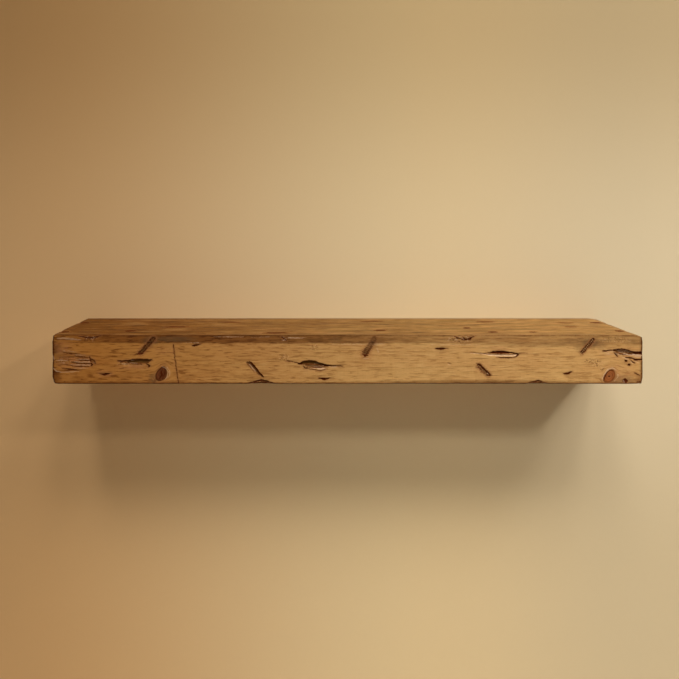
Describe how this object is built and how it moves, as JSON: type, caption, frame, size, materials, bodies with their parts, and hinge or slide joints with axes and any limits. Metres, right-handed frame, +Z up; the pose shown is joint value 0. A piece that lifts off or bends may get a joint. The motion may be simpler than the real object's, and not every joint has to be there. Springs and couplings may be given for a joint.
{
  "type": "floating wall shelf",
  "caption": "Long, thick wall shelf with no visible brackets: a hollow pine box beam with a distressed front that hooks over a bar screwed to the wall and lifts off it.",
  "frame": {"origin": "on the wall plane, at the middle of the row of screw holes in the wall bar", "axes": "+X along the shelf to the right as seen from the room, +Y into the wall, +Z up"},
  "size_m": [1.524, 0.229, 0.127],
  "materials": {
    "stained_pine": "brown stain under a satin clear coat, rough-sawn and dented at the front",
    "bare_pine": "planed, unfinished",
    "dowel_wood": "smooth, unfinished",
    "bar_metal": "mill finish, satin",
    "screw_steel": "zinc-plated, satin",
    "bumper_rubber": "matte"
  },
  "bodies": {
    "wall_bar": {"wall_hanger_bar": "bar_metal"},
    "shelf": {"top_board": "stained_pine", "front_board": "stained_pine", "left_end_board": "stained_pine", "right_end_board": "stained_pine", "bottom_board": "stained_pine", "upper_back_rail": "bare_pine", "lower_back_rail": "bare_pine", "rib_1": "bare_pine", "rib_2": "bare_pine", "rib_3": "bare_pine", "rib_4": "bare_pine", "front_cleat": "bare_pine", "left_end_cleat": "bare_pine", "right_end_cleat": "bare_pine", "front_glue_blocks": "bare_pine", "rail_glue_blocks": "bare_pine", "left_corner_block": "bare_pine", "right_corner_block": "bare_pine", "front_dowels": "dowel_wood", "end_dowels": "dowel_wood", "corner_dowels": "dowel_wood", "bottom_screws": "screw_steel", "bottom_end_screws": "screw_steel", "cleat_screws": "screw_steel", "rib_screws": "screw_steel", "hanger_bar_screws": "screw_steel", "shelf_hanger_bar": "bar_metal", "wall_bumpers": "bumper_rubber"}
  },
  "joints": [
    {"name": "shelf_lift", "type": "slide", "parent": "wall_bar", "child": "shelf", "axis": [0, 0, 1], "range_m": [0, 0.015]}
  ]
}
